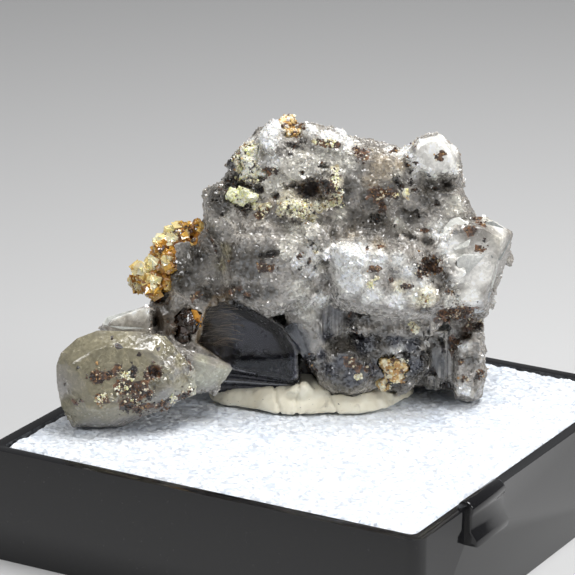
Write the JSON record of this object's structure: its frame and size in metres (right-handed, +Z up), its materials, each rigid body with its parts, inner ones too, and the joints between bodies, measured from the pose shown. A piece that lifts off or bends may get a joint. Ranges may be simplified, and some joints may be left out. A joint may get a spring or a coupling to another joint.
{
  "type": "stolzite on cerussite mineral specimen in a foam-lined display box base",
  "caption": "Intergrown cerussite crystals with golden stolzite and yellow-green crusts, held by putty on a white foam pad in a shallow black plastic box base.",
  "frame": {"origin": "centre of the box base's underside", "axes": "+Z up, +X along the box's front edge to the wall with the catch, +Y towards its back edge; the specimen's display side faces half way between -Y and +X, turned 30 degrees about Z from -Y"},
  "size_m": [0.0304, 0.0296, 0.0253],
  "materials": {
    "black_plastic": "glossy moulded black",
    "white_foam": "fine white open-cell foam",
    "putty": "cream pressed putty, matt to waxy",
    "cerussite": "grey to white, adamantine and translucent, sugary in places",
    "stolzite": "golden amber, bright resinous lustre",
    "amber_crystal": "dark amber brown, glassy",
    "stolzite_crust": "granular yellow-orange crust with brown grains",
    "green_crust": "granular pale yellow-green crust"
  },
  "bodies": {
    "root": {"box_base": "black_plastic", "foam_pad": "white_foam", "putty": "putty", "cerussite": "cerussite", "stolzite_cluster": "stolzite", "amber_stolzite_crystal": "amber_crystal", "stolzite_crust_low": "stolzite_crust", "stolzite_crust_top": "stolzite_crust", "pyromorphite_tuft_high": "green_crust", "pyromorphite_tuft_low": "green_crust"}
  },
  "joints": []
}
